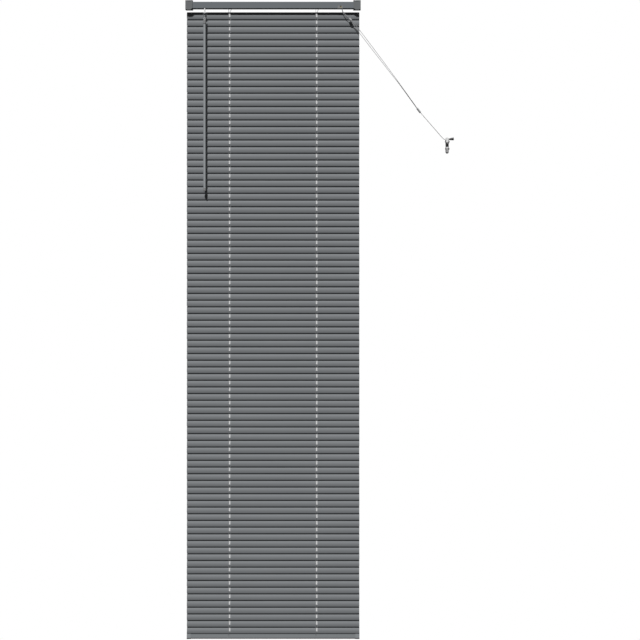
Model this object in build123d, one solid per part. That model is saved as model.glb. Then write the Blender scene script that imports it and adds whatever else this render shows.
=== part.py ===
from build123d import *
import os
from math import asin, atan, cos, degrees, pi, radians, sin, sqrt, tan

# Aluminium venetian blind, 25 mm slats, hung closed in two wall brackets
# X along the rail, Y towards the wall, Z up; the origin is the middle of the wall screw holes
# All sizes in millimetres

# Head rail
rail_length = 600.0
rail_depth = 25.0
rail_height = 23.0
rail_wall = 0.6
rail_lip = 3.0
rail_back_y = -3.5
rail_edge_radius = 1.2

# Brackets
bracket_width = 25.0
bracket_height = 31.5
bracket_wall = 1.2
bracket_end_gap = 0.4
seat_rib_height = 1.75
seat_rib_width = 3.0
screw_hole_radius = 2.25
screw_hole_spacing = 14.0
cover_wall = 1.2
cover_front_gap = 0.6
cover_lip = 5.0
cover_corner = 5.5
cover_gap = 0.35
hinge_pin_radius = 1.0
hinge_wall = 0.95
hinge_clearance = 0.05
knuckle_gap = 0.3
knuckle_share = 0.4

# Slats
slat_length = 595.0
slat_width = 25.0
slat_crown = 2.5
slat_gauge = 0.21
slat_count = 93
slat_pitch = 23.0
slat_tilt = 76.0
slat_flat = 13.0
first_slat_drop = 22.3
route_width = 4.0
route_length = 12.0

# Ladders and lift cords
ladder_spacing = 300.0
string_size = 0.7
string_offset = 2.9
string_grip = 0.05
front_string_gap = 0.45
lift_cord_radius = 0.7
cord_plane_y = -16.0

# Bottom rail
bottom_width = 24.0
bottom_thickness = 9.0
bottom_round = 3.0
bottom_tilt = 72.0
bottom_y = -12.4
bottom_gap = 20.0
bottom_wall = 0.8
bottom_cap_length = 14.0
bottom_cap_wall = 0.8
plug_radius = 5.0
plug_head = 1.4
plug_depth = 3.0
cord_hole_clearance = 0.5

# Tilt rod and ladder drums
rod_flats = 5.0
rod_y = -14.5
rod_z = -1.0
rod_left = -252.0
rod_right = 176.0
rod_clearance = 0.05
tilt_turn = 75.0
drum_width = 8.0
hub_radius = 4.4
hub_length = 2.1
bearing_clearance = 0.05
cradle_wall = 1.6
cradle_gap = 0.3
cradle_front_y = -23.6
cradle_back_y = -4.8
cradle_base = 1.4
guide_pin_radius = 2.0
guide_pin_offset = 10.0
guide_pin_z = 4.6
guide_air = 0.8
guide_ear = 2.0

# Worm tilter
tilter_x = -235.0
tilter_width = 17.0
tilter_lean = 12.0
module_size = 1.0
wheel_teeth = 12
wheel_width = 5.0
wheel_hub_length = 4.0
worm_pitch_radius = 2.9
worm_length = 13.0
thread_backlash = 0.3
thread_addendum = 0.65
thread_dedendum = 1.1
pressure_angle = 20.0
tooth_addendum = 0.8
tooth_dedendum = 1.15
wheel_phase = 0.5
tooth_hand = -1
shaft_radius = 1.6
stem_radius = 2.2
stem_drop = 29.0
eye_radius = 3.1
eye_thickness = 3.0
eye_hole_radius = 1.75
tilter_air = 0.4

# Wand
wire_radius = 0.8
link_reach = 4.6
link_height = 19.0
link_end = 3.5
lug_thickness = 3.6
lug_width = 5.0
lug_drop = 4.5
link_clearance = 0.07
sleeve_radius = 5.0
sleeve_length = 14.0
wand_flats = 7.8
wand_length = 585.0
wand_socket = 10.0
tip_length = 12.0
tip_radius = 4.9

# Cord lock
lock_x = 231.0
lock_width = 22.0
lock_back_y = -9.0
lock_wall = 1.6
lock_exit_x = 237.4
lock_roller_radius = 2.5
lock_roller_air = 0.06
lock_roller_z = -8.2
lock_roller_travel = 2.6
lock_roller_lean = 30.0
lock_pin_radius = 2.0
lock_pin_z = 2.0
lock_throat = 0.35
cord_lane_front = -22.0
cord_lane_back = -19.0
lane_front_y = -26.0

# Cord stop, connector, cleat and tassel
pull_cord_radius = 0.8
stop_radius = 4.2
stop_edge = 1.2
pull_bore_clearance = 0.05
connector_radius = 3.4
connector_edge = 1.0
cleat_x = 600.5
cleat_z = -482.0
cleat_length = 56.0
cleat_base = 3.0
cleat_width = 11.0
cleat_horn = 4.0
cleat_rise = 19.0
wrap_spread = 10.0
wrap_reach = 6.4
wrap_y = -9.0
tassel_length = 17.0
tassel_radius = 5.2

# Places worked out from the sizes above
bracket_top = bracket_height / 2
bracket_bottom = -bracket_top
rail_bottom = bracket_bottom + bracket_wall + seat_rib_height
rail_top = rail_bottom + rail_height
rail_front_y = rail_back_y - rail_depth
bracket_outer_x = rail_length / 2 + bracket_end_gap + bracket_wall
bracket_x = bracket_outer_x - bracket_width / 2
ladder_xs = (-ladder_spacing / 2, ladder_spacing / 2)
first_slat_z = rail_bottom - first_slat_drop
last_slat_z = first_slat_z - slat_pitch * (slat_count - 1)
half_chord = slat_width / 2
edge_rise = half_chord * sin(radians(slat_tilt))
edge_depth = half_chord * cos(radians(slat_tilt))
slat_radius = (half_chord ** 2 + slat_crown ** 2) / (2 * slat_crown)
flat_drop = slat_radius - sqrt(slat_radius ** 2 - (slat_flat / 2) ** 2)
crown_y = cord_plane_y - flat_drop * sin(radians(slat_tilt))
chord_y = crown_y + slat_crown * sin(radians(slat_tilt))
front_edge_y = chord_y - edge_depth
back_edge_y = chord_y + edge_depth
bottom_z = last_slat_z - bottom_gap
drum_radius = edge_rise / radians(tilt_turn)
wheel_pitch_radius = module_size * wheel_teeth / 2
worm_distance = wheel_pitch_radius + worm_pitch_radius
lane_ys = (cord_lane_front, cord_lane_back)
cord_rise_z = guide_pin_z + guide_pin_radius + lift_cord_radius + 0.15
hinge_radius = hinge_pin_radius + hinge_clearance + hinge_wall
cover_back_y = rail_front_y - cover_front_gap
hinge_y = cover_back_y - cover_wall + hinge_radius
hinge_z = bracket_top - hinge_radius
lock_rise_z = lock_pin_z + lock_pin_radius + lift_cord_radius
guide_y = rod_y - rod_flats / sqrt(3) - lift_cord_radius - guide_air


def along_x(radius, start, end, y, z):
    """A round bar along X."""
    return Pos((start + end) / 2, y, z) * Rot(0, 90, 0) * Cylinder(radius, end - start)


def along_y(radius, start, end, x, z):
    """A round bar along Y."""
    return Pos(x, (start + end) / 2, z) * Rot(90, 0, 0) * Cylinder(radius, end - start)


def block(x0, x1, y0, y1, z0, z1):
    """A block between two corners."""
    middle = ((x0 + x1) / 2, (y0 + y1) / 2, (z0 + z1) / 2)
    return Pos(*middle) * Box(x1 - x0, y1 - y0, z1 - z0)


def hexagon_x(flats, start, end, y, z):
    """A six-sided bar along X."""
    outline = Plane(origin=(start, y, z), x_dir=(0, 1, 0), z_dir=(1, 0, 0))
    return extrude(outline * RegularPolygon(flats / 2, 6, major_radius=False), amount=end - start)


def head_rail():
    """A roll-formed channel, open on top, with its edges turned in, slotted for cords and stem."""
    yc = (rail_front_y + rail_back_y) / 2
    zc = (rail_bottom + rail_top) / 2
    inner_depth = rail_depth - 2 * rail_wall
    inner_height = rail_height - 2 * rail_wall
    outer = RectangleRounded(rail_depth, rail_height, rail_edge_radius)
    inner = RectangleRounded(inner_depth, inner_height, rail_edge_radius - rail_wall)
    mouth = Pos(0, rail_height / 2) * Rectangle(rail_depth - 2 * rail_lip, 2 * rail_edge_radius)
    profile = Plane(origin=(0, yc, zc), x_dir=(0, 1, 0), z_dir=(1, 0, 0)) * (outer - inner - mouth)
    rail = extrude(profile, amount=rail_length / 2, both=True)
    for x in ladder_xs:
        rail -= ladder_slot(x, 0)
    stem_y = tilter_line_y(rail_bottom)
    rail -= block(tilter_x - stem_radius - 1.5, tilter_x + stem_radius + 1.5,
                  rail_front_y - 1, stem_y + stem_radius + 2, rail_bottom - 1, rail_bottom + 2.8)
    rail -= block(lock_x - lock_width / 2 + lock_wall, lock_x + lock_width / 2 - lock_wall,
                  rail_front_y - 1, lock_back_y - lock_wall, rail_bottom - 1, lock_roller_z + 5.5)
    return rail


def ladder_slot(x, grow):
    """The opening in the rail's floor that a ladder and its lift cord pass."""
    return block(x - 7 + grow, x + 9.5 - grow, rail_front_y + 2.2 + grow, rail_back_y - 2.2 - grow,
                 rail_bottom - 1, rail_bottom + rail_wall + cradle_base + 1)


def rail_end_plug(side):
    """A moulded plug in the open end of the head rail."""
    yc = (rail_front_y + rail_back_y) / 2
    zc = (rail_bottom + rail_top) / 2
    gap = rail_wall + 0.1
    face = Plane.YZ * RectangleRounded(rail_depth - 2 * gap, rail_height - 2 * gap, rail_edge_radius)
    outer = extrude(face, amount=4, both=True)
    hollow = Pos(-side * 1.5, 0, 1.5) * Box(8, rail_depth - 2 * gap - 3, rail_height - 2 * gap)
    return Pos(side * (rail_length / 2 - 4), yc, zc) * (outer - hollow)


def bracket(side):
    """A folded box bracket: back, top, floor and outer side, open to the rail and to the front."""
    x_out = side * bracket_outer_x
    x_in = side * (bracket_outer_x - bracket_width)
    lo, hi = min(x_out, x_in), max(x_out, x_in)
    front = rail_front_y
    body = block(lo, hi, front, 0, bracket_bottom, bracket_top)
    wall = bracket_wall
    cut_lo = lo - 1 if side > 0 else lo + wall
    cut_hi = hi - wall if side > 0 else hi + 1
    body -= block(cut_lo, cut_hi, front - 1, -wall, bracket_bottom + wall, bracket_top - wall)
    for y in (rail_front_y + 5, rail_back_y - 5):
        body += block(lo + wall, hi - wall, y - seat_rib_width / 2, y + seat_rib_width / 2,
                      bracket_bottom + wall / 2, bracket_bottom + wall + seat_rib_height)
    for offset in (-screw_hole_spacing / 2, screw_hole_spacing / 2):
        body -= along_y(screw_hole_radius, -2 * wall, wall, side * bracket_x, offset)
    length = bracket_width * knuckle_share
    bore = hinge_pin_radius + hinge_clearance
    knuckle = along_x(hinge_radius, -length / 2, length / 2, hinge_y, hinge_z)
    clear = hinge_radius + cover_gap
    tongue = block(-length / 2, length / 2, hinge_y, hinge_y + clear + 2 * wall,
                   bracket_top - wall, bracket_top)
    middle = Pos(side * bracket_x, 0, 0)
    body -= along_x(clear, lo + wall + 0.2, hi - wall - 0.2, hinge_y, hinge_z)
    body += middle * (knuckle + tongue)
    body -= middle * along_x(bore, -length, length, hinge_y, hinge_z)
    for offset in (-screw_hole_spacing / 2, screw_hole_spacing / 2):
        ceiling_y = rail_back_y - rail_depth / 2 + offset
        body -= Pos(side * bracket_x, ceiling_y, bracket_top) * Cylinder(screw_hole_radius, 4 * wall)
        body -= along_x(screw_hole_radius, x_out - 2 * wall, x_out + 2 * wall, ceiling_y, 0)
    return body


def bracket_cover(side):
    """The hinged front of a bracket, with a lip that snaps under its floor."""
    half = bracket_width / 2 - cover_gap
    length = bracket_width * knuckle_share
    cut = cover_corner
    plate_top = hinge_z - hinge_radius / 2
    outline = Polyline((-half, bracket_bottom), (half, bracket_bottom),
                       (half, plate_top), (-half, plate_top), close=True)
    plate = extrude(Plane(origin=(0, cover_back_y, 0), x_dir=(1, 0, 0), z_dir=(0, -1, 0))
                    * make_face(outline), amount=cover_wall)
    barrel_half = bracket_width / 2 - bracket_wall - 2 * cover_gap
    barrel = along_x(hinge_radius, -barrel_half, barrel_half, hinge_y, hinge_z)
    lip = block(-half + cut, half - cut, cover_back_y - cover_wall, cover_back_y + cover_lip,
                bracket_bottom - cover_gap - cover_wall, bracket_bottom - cover_gap)
    joined = block(-half + cut, half - cut, cover_back_y - cover_wall, cover_back_y,
                   bracket_bottom - cover_gap - cover_wall, bracket_bottom + 1)
    cover = plate + barrel + lip + joined
    for z in (bracket_top, bracket_bottom):
        corner = Pos(-side * half, cover_back_y, z) * Rot(0, 45, 0) * Box(cut * 1.3, 9, cut * 1.3)
        cover -= corner
    relief = length / 2 + knuckle_gap
    cover -= block(-relief, relief, hinge_y - hinge_radius - 1, hinge_y + hinge_radius + 1,
                   hinge_z - hinge_radius - cover_gap, bracket_top + 1)
    cover -= along_x(hinge_pin_radius + hinge_clearance, -half - 1, half + 1, hinge_y, hinge_z)
    return Pos(side * bracket_x, 0, 0) * cover


def hinge_pin(side):
    """The pin of a bracket cover."""
    half = bracket_width / 2 - bracket_wall - cover_gap - cover_corner * 0.45
    return Pos(side * bracket_x, 0, 0) * along_x(hinge_pin_radius, -half, half, hinge_y, hinge_z)


def slat():
    """One crowned slat with its two route holes, flat, its crown at the origin."""
    flat = slat_flat / 2
    top = [(-half_chord, -slat_crown), (-flat, -flat_drop), (flat, -flat_drop), (half_chord, -slat_crown)]
    under = [(y, z - slat_gauge) for y, z in reversed(top)]
    section = Plane.YZ * make_face(Polyline(*top, *under, close=True))
    body = extrude(section, amount=slat_length / 2, both=True)
    for x in ladder_xs:
        body -= Pos(x, 0, 0) * Box(route_width, route_length, 2 * slat_crown)
    return body


def string_bar(x, y, top, low):
    """A straight ladder string, square in section."""
    return Pos(x - string_offset, y, (top + low) / 2) * Box(string_size, string_size, top - low)


def slats():
    """All slats, closed, carried by the two rear ladder strings."""
    tilted = Rot(slat_tilt, 0, 0) * slat()
    rows = [Pos(0, crown_y, first_slat_z - slat_pitch * row) * tilted for row in range(slat_count)]
    top = first_slat_z + edge_rise
    low = last_slat_z
    string_y = back_edge_y + string_size / 2 - string_grip - slat_gauge
    strings = [string_bar(x, string_y, top + 1, low) for x in ladder_xs]
    return strings[0].fuse(*strings[1:], *rows)


def front_strings():
    """The front strings of both ladders, from the head rail to the bottom rail."""
    y = front_edge_y - front_string_gap - string_size
    top = rail_bottom - 2
    low = bottom_z + 3
    return Compound(children=[string_bar(x, y, top, low) for x in ladder_xs])


def bottom_frame():
    """The tilted frame of the bottom rail: Y across its width, Z out of its front face."""
    return Location((0, bottom_y, bottom_z)) * Rot(bottom_tilt, 0, 0)


def bottom_outline(grow):
    """The rounded section of the bottom rail."""
    return RectangleRounded(bottom_width + 2 * grow, bottom_thickness + 2 * grow, bottom_round + grow)


def bottom_rail():
    """A roll-formed closed section with holes for the lift cords and ladder plugs."""
    length = slat_length - 2 * bottom_cap_wall
    section = Plane.YZ * (bottom_outline(0) - bottom_outline(-bottom_wall))
    body = extrude(section, amount=length / 2, both=True)
    hole = lift_cord_radius + cord_hole_clearance
    for x in ladder_xs:
        body -= Pos(x, 4.5, bottom_thickness / 2) * Cylinder(hole, 2 * bottom_wall + 1)
        body -= Pos(x, 0, -bottom_thickness / 2) * Cylinder(plug_radius - 1, 2 * bottom_wall + 1)
    return bottom_frame() * body


def bottom_cap(side):
    """An end cap that slips over the bottom rail."""
    length = bottom_cap_length
    sleeve = extrude(Plane.YZ * bottom_outline(bottom_cap_wall), amount=length / 2, both=True)
    bore = extrude(Plane.YZ * bottom_outline(0.02), amount=length / 2, both=True)
    x = side * (slat_length / 2 - length / 2)
    cap = Pos(x, 0, 0) * (sleeve - Pos(-side * bottom_cap_wall, 0, 0) * bore)
    return bottom_frame() * cap


def bottom_plug(x):
    """The button under the bottom rail that holds the ladder ends and the cord knot."""
    z = -bottom_thickness / 2
    head = Pos(x, 0, z - plug_head / 2) * Cylinder(plug_radius, plug_head)
    head = fillet(head.edges().group_by(Axis.Z)[0], plug_head * 0.4)
    shank = Pos(x, 0, z + plug_depth / 2) * Cylinder(plug_radius - 1.05, plug_depth)
    return bottom_frame() * (head + shank)


def tilt_rod():
    """The six-sided rod that turns the drums."""
    return hexagon_x(rod_flats, rod_left, rod_right, rod_y, rod_z)


def drum(x):
    """A ladder drum: a waisted spool with a hub each side and a bore for the rod."""
    half = drum_width / 2
    spool = along_x(drum_radius, x - half, x + half, rod_y, rod_z)
    hubs = along_x(hub_radius, x - half - hub_length, x + half + hub_length, rod_y, rod_z)
    bore = hexagon_x(rod_flats + 2 * rod_clearance, x - 3 * half, x + 3 * half, rod_y, rod_z)
    return spool + hubs - bore


def cradle(x):
    """The moulded support of a drum, with bearing walls and the ears of the cord guide pin."""
    near = drum_width / 2 + cradle_gap
    far = near + cradle_wall
    floor_z = rail_bottom + rail_wall
    base_end = guide_pin_offset + guide_pin_radius + 3
    body = block(x - far, x + base_end, cradle_front_y, cradle_back_y, floor_z, floor_z + cradle_base)
    body -= block(x - near, x + guide_pin_offset - guide_pin_radius + 0.3, cradle_front_y + 1.2,
                  cradle_back_y - 1.2, floor_z - 1, floor_z + cradle_base + 1)
    wall_top = rod_z + hub_radius * 0.35
    for start in (-far, near):
        body += block(x + start, x + start + cradle_wall, cradle_front_y, cradle_back_y, floor_z, wall_top)
    bearing = hub_radius + bearing_clearance
    body -= along_x(bearing, x - far - 1, x + far + 1, rod_y, rod_z)
    body -= block(x - far - 1, x + far + 1, rod_y - bearing, rod_y + bearing, rod_z, wall_top + 1)
    ear = guide_pin_radius + 1.2
    ear_x = x + guide_pin_offset
    ear_y = guide_y - guide_pin_radius - guide_ear
    body += block(ear_x - ear, ear_x + ear, ear_y, ear_y + guide_ear, floor_z, guide_pin_z + ear)
    return body - along_y(guide_pin_radius, ear_y, ear_y + guide_ear, ear_x, guide_pin_z)


def guide_pin(x):
    """The steel pin that a lift cord turns over."""
    ear_y = guide_y - guide_pin_radius - guide_ear
    return along_y(guide_pin_radius, ear_y, guide_y + 3, x + guide_pin_offset, guide_pin_z)


def tilter_line_y(z):
    """Where the worm's axis is, front to back, at a height."""
    y0 = rod_y - worm_distance * cos(radians(tilter_lean))
    z0 = rod_z + worm_distance * sin(radians(tilter_lean))
    return y0 - (z0 - z) * tan(radians(tilter_lean))


def worm_place():
    """The frame of the worm: its Z is the shaft, its origin is abreast of the rod."""
    lean = radians(tilter_lean)
    origin = (tilter_x, rod_y - worm_distance * cos(lean), rod_z + worm_distance * sin(lean))
    return Plane(origin=origin, x_dir=(1, 0, 0), z_dir=(0, sin(lean), cos(lean)))


def worm_shaft():
    """A single-start worm on a shaft whose stem ends in the eye for the wand."""
    pitch = pi * module_size
    root = worm_pitch_radius - thread_dedendum * module_size
    tip = worm_pitch_radius + thread_addendum * module_size
    slope = module_size * tan(radians(pressure_angle))
    half_root = pitch / 4 - thread_backlash / 2 + thread_dedendum * slope
    half_tip = pitch / 4 - thread_backlash / 2 - thread_addendum * slope
    path = Helix(pitch, worm_length - pitch, root)
    profile = Plane(origin=path @ 0, x_dir=(1, 0, 0), z_dir=(0, 1, 0)) * make_face(
        Polyline((-0.4, half_root), (0, half_root), (tip - root, half_tip),
                 (tip - root, -half_tip), (0, -half_root), (-0.4, -half_root), close=True))
    thread = Pos(0, 0, -(worm_length - pitch) / 2) * sweep(profile, path=path, is_frenet=True)
    core = Cylinder(root, worm_length)
    top = Pos(0, 0, worm_length / 2) * Cylinder(shaft_radius, 4)
    stem_end = -(stem_drop)
    stem_start = -worm_length / 2
    stem = Pos(0, 0, (stem_start + stem_end) / 2) * Cylinder(stem_radius, stem_start - stem_end)
    eye = Pos(0, 0, stem_end) * Rot(0, 90, 0) * Cylinder(eye_radius, eye_thickness)
    hole = Pos(0, 0, stem_end) * Rot(0, 90, 0) * Cylinder(eye_hole_radius, 4 * eye_thickness)
    shaft = core + top + stem
    flat = Pos(0, 0, stem_end - 1.2) * Box(2 * eye_thickness, 2 * eye_radius, 2 * eye_radius)
    shaft = shaft - flat + eye - hole
    return worm_place() * (shaft + (thread - Cylinder(root, 2 * worm_length)))


def worm_wheel():
    """The wheel on the tilt rod, its teeth slanted to follow the worm's thread."""
    root = wheel_pitch_radius - tooth_dedendum * module_size
    tip = wheel_pitch_radius + tooth_addendum * module_size
    lead = atan(module_size / (2 * worm_pitch_radius))
    half_angle = 360 / wheel_teeth / 4 - degrees(thread_backlash / 2 / wheel_pitch_radius)
    tooth_root = root * sin(radians(half_angle * 1.45))
    tooth_tip = tip * sin(radians(half_angle * 0.45))
    outline = Polyline((root - 0.5, tooth_root), (root, tooth_root), (tip, tooth_tip), (tip, -tooth_tip),
                       (root, -tooth_root), (root - 0.5, -tooth_root), close=True)
    twist = degrees(wheel_width * tan(lead) / wheel_pitch_radius)
    wheel = Cylinder(root, wheel_width)
    for tooth in range(wheel_teeth):
        turn = (tooth + wheel_phase) * 360 / wheel_teeth
        low = Pos(0, 0, -wheel_width / 2) * Rot(0, 0, turn + tooth_hand * twist / 2) * make_face(outline)
        high = Pos(0, 0, wheel_width / 2) * Rot(0, 0, turn - tooth_hand * twist / 2) * make_face(outline)
        wheel += loft([low, high])
    hubs = Cylinder(hub_radius, wheel_width + 2 * wheel_hub_length)
    wheel = Plane(origin=(tilter_x, rod_y, rod_z), x_dir=(0, 1, 0), z_dir=(1, 0, 0)) * (wheel + hubs)
    reach = wheel_width + 2 * wheel_hub_length
    bore = hexagon_x(rod_flats + 2 * rod_clearance, tilter_x - reach, tilter_x + reach, rod_y, rod_z)
    return wheel - bore


def tilter_half(side):
    """One half of the tilter's moulded case, hollow round the worm and the wheel."""
    floor_z = rail_bottom + rail_wall + 0.3
    top_z = rail_top - rail_wall - 0.3
    half = tilter_width / 2
    lo, hi = (tilter_x, tilter_x + half) if side > 0 else (tilter_x - half, tilter_x)
    front = rail_front_y + rail_wall + 0.3
    case = block(lo, hi, front, rail_back_y - rail_wall - 0.3, floor_z, top_z)
    wheel_room = wheel_pitch_radius + tooth_addendum * module_size + tilter_air
    width = wheel_width / 2 + tilter_air
    case -= along_x(wheel_room, tilter_x - width, tilter_x + width, rod_y, rod_z)
    bearing = hub_radius + bearing_clearance
    case -= along_x(bearing, tilter_x - half - 1, tilter_x + half + 1, rod_y, rod_z)
    worm_room = worm_pitch_radius + thread_addendum * module_size + tilter_air
    shaft_bore = shaft_radius + bearing_clearance
    room = Cylinder(worm_room, worm_length + 2 * tilter_air)
    upper = Pos(0, 0, worm_length / 2) * Cylinder(shaft_bore, 16)
    lower = Pos(0, 0, -worm_length / 2 - 8) * Cylinder(stem_radius + bearing_clearance, 16)
    return case - worm_place() * (room + upper + lower)


def eye_point():
    """The middle of the stem's eye."""
    lean = radians(tilter_lean)
    place = worm_place().origin
    return place.X, place.Y - stem_drop * sin(lean), place.Z - stem_drop * cos(lean)


def wand_link():
    """A bent wire link that hangs in the stem's eye and carries the wand's lug."""
    reach = link_reach
    low = -link_height
    points = [(reach + 0.6, 0, -link_end), (reach, 0, 0), (-reach, 0, 0), (-reach, 0, low),
              (reach, 0, low), (reach + 0.6, 0, low + link_end)]
    path = FilletPolyline(*points, radius=[1.6, 2.0, 2.0, 1.6])
    section = Plane(origin=path @ 0, z_dir=path % 0) * Circle(wire_radius)
    link = sweep(section, path=path)
    return Pos(*eye_point()) * link


def wand_sleeve():
    """The moulded cap of the wand, with the lug that hangs on the link."""
    top = -link_height - lug_drop
    low = top - sleeve_length
    outer = Pos(0, 0, low + sleeve_length / 2) * Cylinder(sleeve_radius, sleeve_length)
    outer = chamfer(outer.edges().group_by(Axis.Z)[-1], 1.6)
    lug = Pos(0, 0, (top - link_height) / 2 - 0.5) * Box(lug_thickness, lug_width, lug_drop + 1)
    lug += along_x(lug_width / 2, -lug_thickness / 2, lug_thickness / 2, 0, -link_height)
    socket = wand_bar(low - 1, low + wand_socket, wand_flats)
    eye = along_x(wire_radius + link_clearance, -lug_width, lug_width, 0, -link_height)
    return Pos(*eye_point()) * (outer + lug - socket - eye)


def wand_bar(low, high, flats):
    """A six-sided bar along Z."""
    return extrude(Pos(0, 0, low) * RegularPolygon(flats / 2, 6, major_radius=False), amount=high - low)


def wand_rod():
    """The six-sided wand."""
    top = -link_height - lug_drop - sleeve_length + wand_socket
    return Pos(*eye_point()) * wand_bar(top - wand_length, top, wand_flats)


def wand_tip():
    """The soft cap on the wand's lower end."""
    top = -link_height - lug_drop - sleeve_length + wand_socket - wand_length + tip_length - 1.5
    outer = Pos(0, 0, top - tip_length / 2) * Cylinder(tip_radius, tip_length)
    outer = fillet(outer.edges().group_by(Axis.Z)[0], 2)
    return Pos(*eye_point()) * (outer - wand_bar(top - tip_length + 1.5, top + 1, wand_flats))


def lock_roller_place(shift):
    """Where the roller's axis is, shifted along its slots."""
    lean = radians(lock_roller_lean)
    x = lock_exit_x - lift_cord_radius - 0.3 - lock_roller_radius
    return x - shift * sin(lean), lock_roller_z + shift * cos(lean)


def lock_housing():
    """The cord lock's moulded case: a throat for two cords and slanted slots for the roller."""
    lo, hi = lock_x - lock_width / 2, lock_x + lock_width / 2
    floor_z = rail_bottom + rail_wall + 0.1
    front = rail_front_y + rail_wall + 0.2
    top = lock_rise_z + 3
    body = block(lo, hi, front, lock_back_y, floor_z, top)
    nose = block(lo + lock_wall + 0.2, hi - lock_wall - 0.2, rail_front_y, lock_back_y - lock_wall - 0.2,
                 rail_bottom, lock_roller_z + 5.3)
    body += nose
    body -= block(lo - 1, lock_exit_x + lift_cord_radius + lock_throat, front + lock_wall,
                  lock_back_y - lock_wall, lock_pin_z - 1.0, top - 1.2)
    body -= block(lo + 3.2, lock_exit_x + lift_cord_radius + lock_throat, front + lock_wall,
                  lock_back_y - lock_wall, rail_bottom - 1, lock_pin_z)
    x0, z0 = lock_roller_place(0)
    x1, z1 = lock_roller_place(lock_roller_travel)
    slot = lock_roller_radius + lock_roller_air
    ends = along_y(slot, rail_front_y - 1, -10.2, x0, z0) + along_y(slot, rail_front_y - 1, -10.2, x1, z1)
    lean = lock_roller_lean
    middle = Pos((x0 + x1) / 2, (rail_front_y - 1 - 10.2) / 2, (z0 + z1) / 2)
    run = middle * Rot(0, -lean, 0) * Box(2 * slot, -10.2 - rail_front_y + 1, lock_roller_travel)
    body -= ends + run
    return body - lock_pin_bar(0)


def lock_pin_bar(grow):
    """The bar that the cords turn over inside the lock."""
    x = lock_exit_x - lift_cord_radius - lock_pin_radius
    return along_y(lock_pin_radius + grow, rail_front_y + 1.6, lock_back_y - 0.8, x, lock_pin_z)


def lock_roller():
    """The brass roller that pinches the cords."""
    x, z = lock_roller_place(0)
    return along_y(lock_roller_radius, rail_front_y + 0.1, -10.3, x, z)


def cord_tube(points, radii, radius):
    """A round cord along straight runs joined by tangent arcs, with its length."""
    path = FilletPolyline(*points, radius=radii) if radii else Line(*points)
    section = Plane(origin=path @ 0, z_dir=path % 0) * Circle(radius)
    tube = sweep(section, path=path)
    share = tube.volume / (pi * radius ** 2 * path.length)
    print("cord of length", round(path.length, 1), "with a share of", round(share, 4))
    return tube


def open_radii(points):
    """The arc that each corner of a loose route takes."""
    radii = []
    for a, b, c in zip(points, points[1:], points[2:]):
        run = min((Vector(*b) - Vector(*a)).length, (Vector(*c) - Vector(*b)).length)
        turn = (Vector(*b) - Vector(*a)).get_angle(Vector(*c) - Vector(*b))
        radii.append(0.45 * run / tan(radians(turn) / 2))
    return radii


def lift_drop(x):
    """A lift cord's hanging part, through every route hole, up to the head rail."""
    low = bottom_z + bottom_thickness / 2 * cos(radians(bottom_tilt)) + 4.5
    bend = first_slat_z + 6.0
    side = x + guide_pin_offset - guide_pin_radius - lift_cord_radius
    points = [(x, cord_plane_y, low), (x, cord_plane_y, bend), (side, guide_y, rail_bottom - 0.4)]
    return cord_tube(points, [30], lift_cord_radius)


def lift_run(x, lane):
    """A lift cord's run inside the head rail, over its guide pin and on to the cord lock."""
    side = x + guide_pin_offset - guide_pin_radius - lift_cord_radius
    bend = guide_pin_radius + lift_cord_radius
    start = (side, guide_y, rail_bottom - 0.4)
    rise = (side, guide_y, cord_rise_z)
    entry = (lock_x - lock_width / 2 - 2, lane, lock_rise_z)
    out_top = (lock_exit_x, lane, lock_rise_z)
    out_low = (lock_exit_x, lane, rail_bottom - 0.4)
    if x < 0:
        near = ladder_xs[1] - 30
        far = ladder_xs[1] + 25
        lane_in = (near, lane_front_y, cord_rise_z)
        lane_out = (far, lane_front_y, cord_rise_z)
        points = [start, rise, lane_in, lane_out, entry, out_top, out_low]
        radii = [bend, 60, 60, 60, bend]
    else:
        points = [start, rise, entry, out_top, out_low]
        radii = [bend, 60, bend]
    return cord_tube(points, radii, lift_cord_radius)


# Routes of the free cords, chosen by hand from the lock to the cleat
connector_end = (507.8, -17.9, -370.6)
front_pull = [
    (lock_exit_x, cord_lane_front, rail_bottom - 0.4), (238.6, -23.6, -19.0), (244.5, -25.0, -29.5),
    (255.0, -26.4, -39.5), (265.6, -26.7, -48.2), (274.5, -26.4, -58.0), (299.5, -25.3, -88.6),
    (425.0, -20.5, -254.6), (496.0, -19.2, -354.6)]
back_pull = [
    (lock_exit_x, cord_lane_back, rail_bottom - 0.4), (237.8, -20.4, -19.5), (242.2, -22.3, -31.0),
    (253.0, -23.7, -42.0), (264.2, -24.0, -51.0), (272.2, -23.8, -61.5), (297.0, -22.8, -96.6),
    (417.5, -18.9, -250.8), (428.5, -18.4, -262.8), (495.2, -17.2, -355.6)]
tail_route = [connector_end, (545.0, -14.5, -413.0), (572.0, -12.0, -443.0), (589.0, -10.0, -463.0)]
stop_ends = ((262.2, -25.3, -46.8), (269.6, -25.2, -55.0))
connector_ends = ((495.6, -18.2, -354.9), connector_end)


def pull_cord(points, grow=0.0):
    """A free cord along its route, nearly taut, or the bore that it needs."""
    return cord_tube(points, open_radii(points), pull_cord_radius + grow)


def turned_bar(ends, radius, edge):
    """A moulded round piece on a slanted line, drilled for the pull cords."""
    start, end = ends
    middle = (Vector(*start) + Vector(*end)) / 2
    place = Plane(origin=middle, z_dir=Vector(*end) - Vector(*start))
    length = (Vector(*end) - Vector(*start)).length
    bar = Cylinder(radius, length)
    bar = fillet(bar.edges().filter_by(GeomType.CIRCLE), edge)
    return place * bar - pull_bores


def cord_stop():
    """The bead that both pull cords pass, which keeps the lift cords from running in."""
    return turned_bar(stop_ends, stop_radius, stop_edge)


def connector():
    """The barrel that joins the two pull cords to the single one."""
    return turned_bar(connector_ends, connector_radius, connector_edge)


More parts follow.
